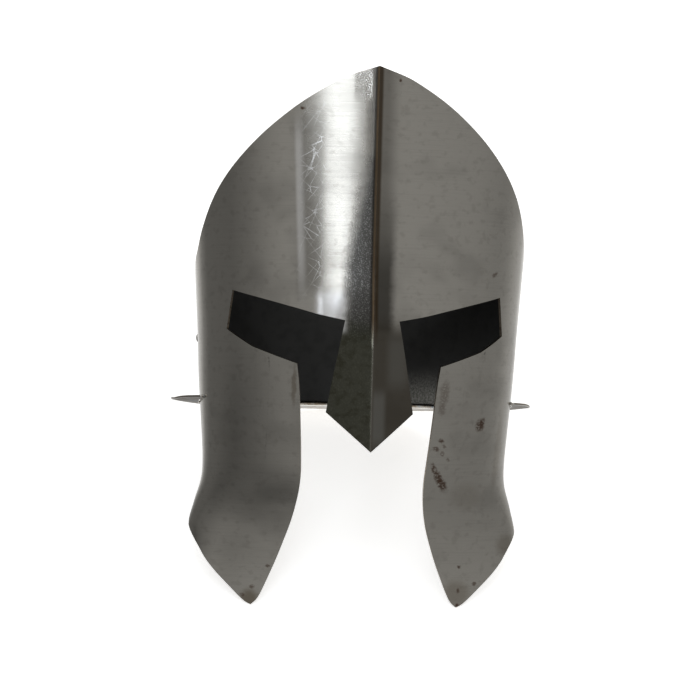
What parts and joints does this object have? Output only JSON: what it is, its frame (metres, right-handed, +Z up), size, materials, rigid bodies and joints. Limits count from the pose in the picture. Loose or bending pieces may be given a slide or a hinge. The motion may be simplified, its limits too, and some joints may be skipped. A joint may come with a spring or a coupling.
{
  "type": "spartan helmet",
  "caption": "Plain steel helmet of the old Greek kind with a keeled face plate, eye slots, nasal, cheek guards, round skull shell and narrow neck guard.",
  "frame": {"origin": "middle of the helmet's box on the floor, as it stands on both cheek tips and the rear of the neck guard", "axes": "+Z up, the face looks along -Y and upwards, +X is the wearer's left"},
  "size_m": [0.2276, 0.242, 0.3092],
  "materials": {
    "plate_steel": "bare mild steel, brushed and part polished, with rust spots and scratches",
    "shell_steel": "bare mild steel, brushed",
    "guard_steel": "bare mild steel, brushed, heat tinted at its welds",
    "rivet_steel": "bare steel dome"
  },
  "bodies": {
    "root": {"face_plate": "plate_steel", "skull_shell": "shell_steel", "neck_guard": "guard_steel", "rivet_left": "rivet_steel", "rivet_right": "rivet_steel"}
  },
  "joints": []
}
